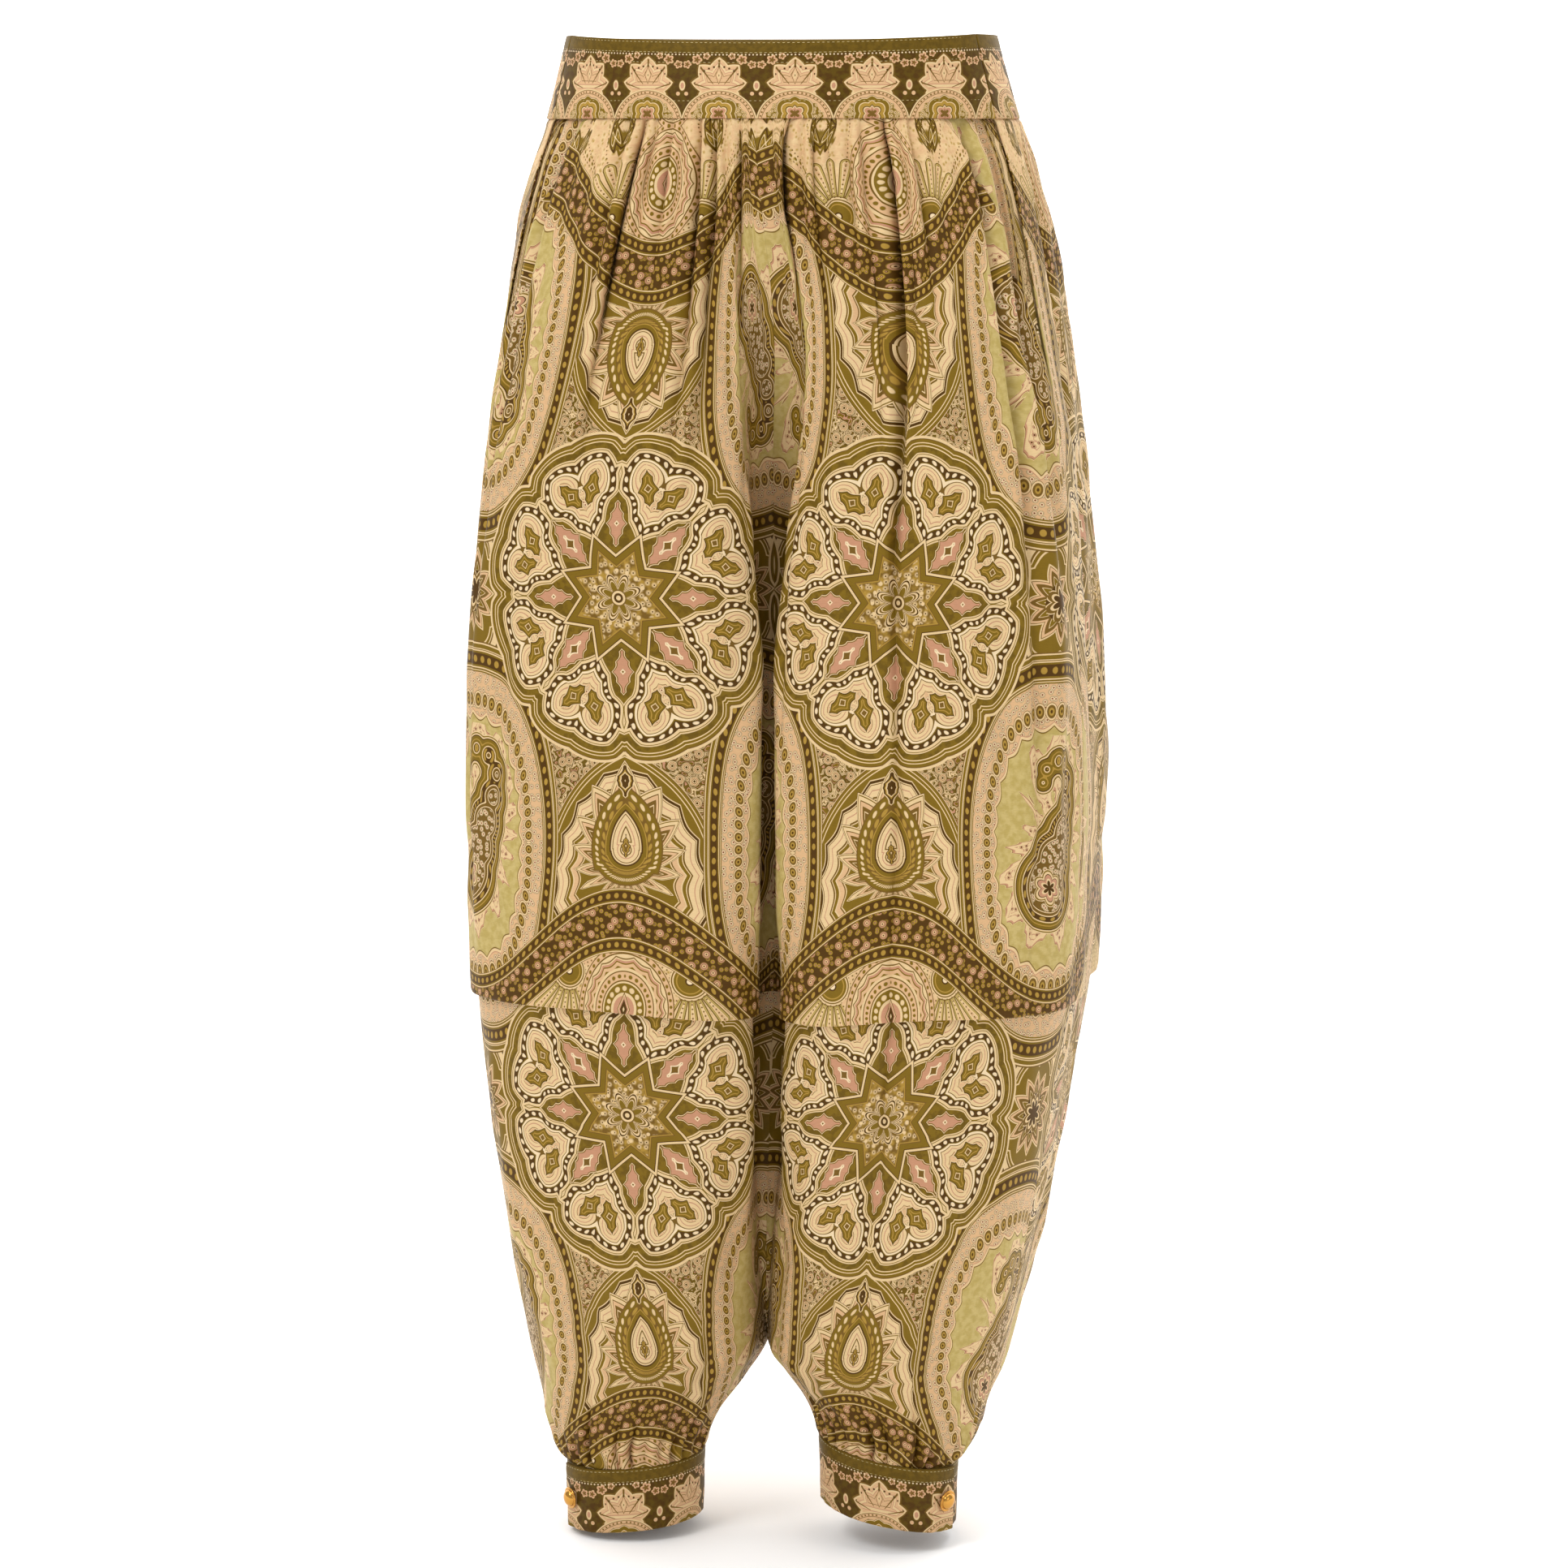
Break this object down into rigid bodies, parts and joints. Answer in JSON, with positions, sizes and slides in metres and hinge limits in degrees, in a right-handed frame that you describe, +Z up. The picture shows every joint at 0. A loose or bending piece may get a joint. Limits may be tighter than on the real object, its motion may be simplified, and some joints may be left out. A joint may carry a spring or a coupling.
{
  "type": "harem pants",
  "caption": "Wide gathered harem pants with a flat waistband, slanted side pockets, a folded tuck round the knees and buttoned ankle cuffs, filled out as if worn.",
  "frame": {"origin": "middle of the waist, halfway up the waistband", "axes": "+Z up along the body, +X towards the side called right (seen from in front), front of the garment at -Y"},
  "size_m": [0.41, 0.2863, 0.9729],
  "materials": {
    "printed_cloth": "soft satin, printed silk and linen",
    "border_cloth": "soft satin, printed silk and linen",
    "brass": "polished"
  },
  "bodies": {
    "root": {"waistband_front": "border_cloth", "waistband_back": "border_cloth", "front_left": "printed_cloth", "front_right": "printed_cloth", "back_left": "printed_cloth", "back_right": "printed_cloth", "pocket_left": "printed_cloth", "pocket_right": "printed_cloth", "cuff_left": "border_cloth", "cuff_right": "border_cloth", "button_left": "brass", "button_right": "brass"}
  },
  "joints": []
}
